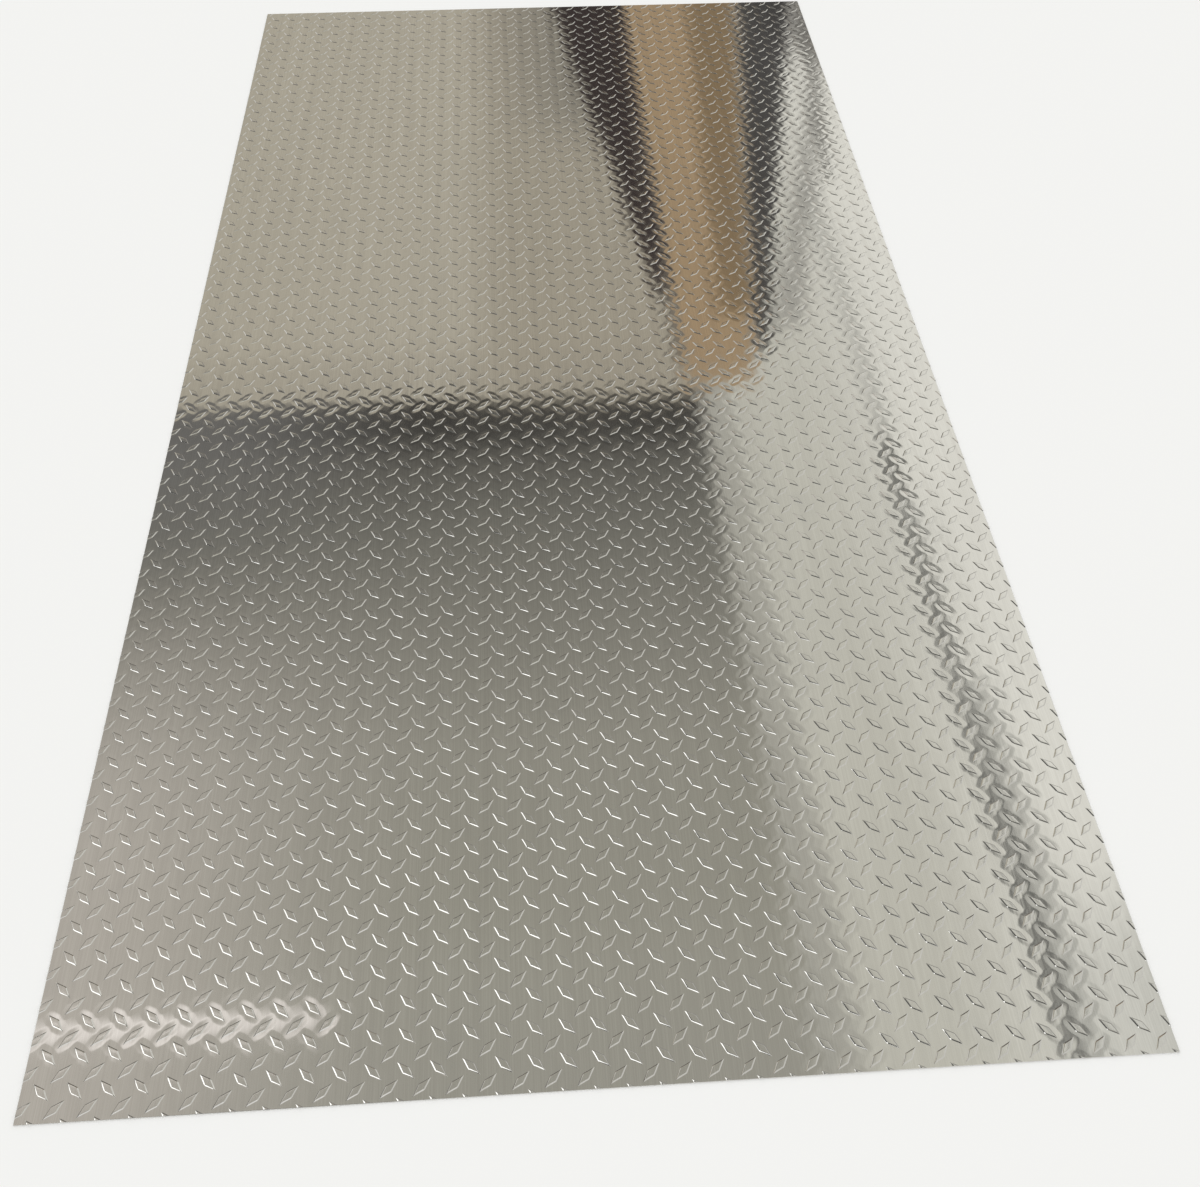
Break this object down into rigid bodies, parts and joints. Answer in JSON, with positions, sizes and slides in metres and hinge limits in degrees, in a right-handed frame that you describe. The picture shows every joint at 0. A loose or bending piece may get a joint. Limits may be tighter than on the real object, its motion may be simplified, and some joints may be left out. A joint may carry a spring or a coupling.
{
  "type": "aluminium checker plate sheet",
  "caption": "Flat rectangular mirror-bright aluminium sheet with rows of raised pointed tread lugs on its upper face and plain sheared edges.",
  "frame": {"origin": "centre of the sheet's underside, which is the bottom centre of its box", "axes": "+Z out of the treaded face, +Y along the sheet's length and rolling direction, +X across its width"},
  "size_m": [1.2192, 2.4384, 0.0016],
  "materials": {
    "bright_aluminium": "mirror-bright rolled, faint lengthwise rolling lines"
  },
  "bodies": {
    "root": {"checker_plate": "bright_aluminium"}
  },
  "joints": []
}
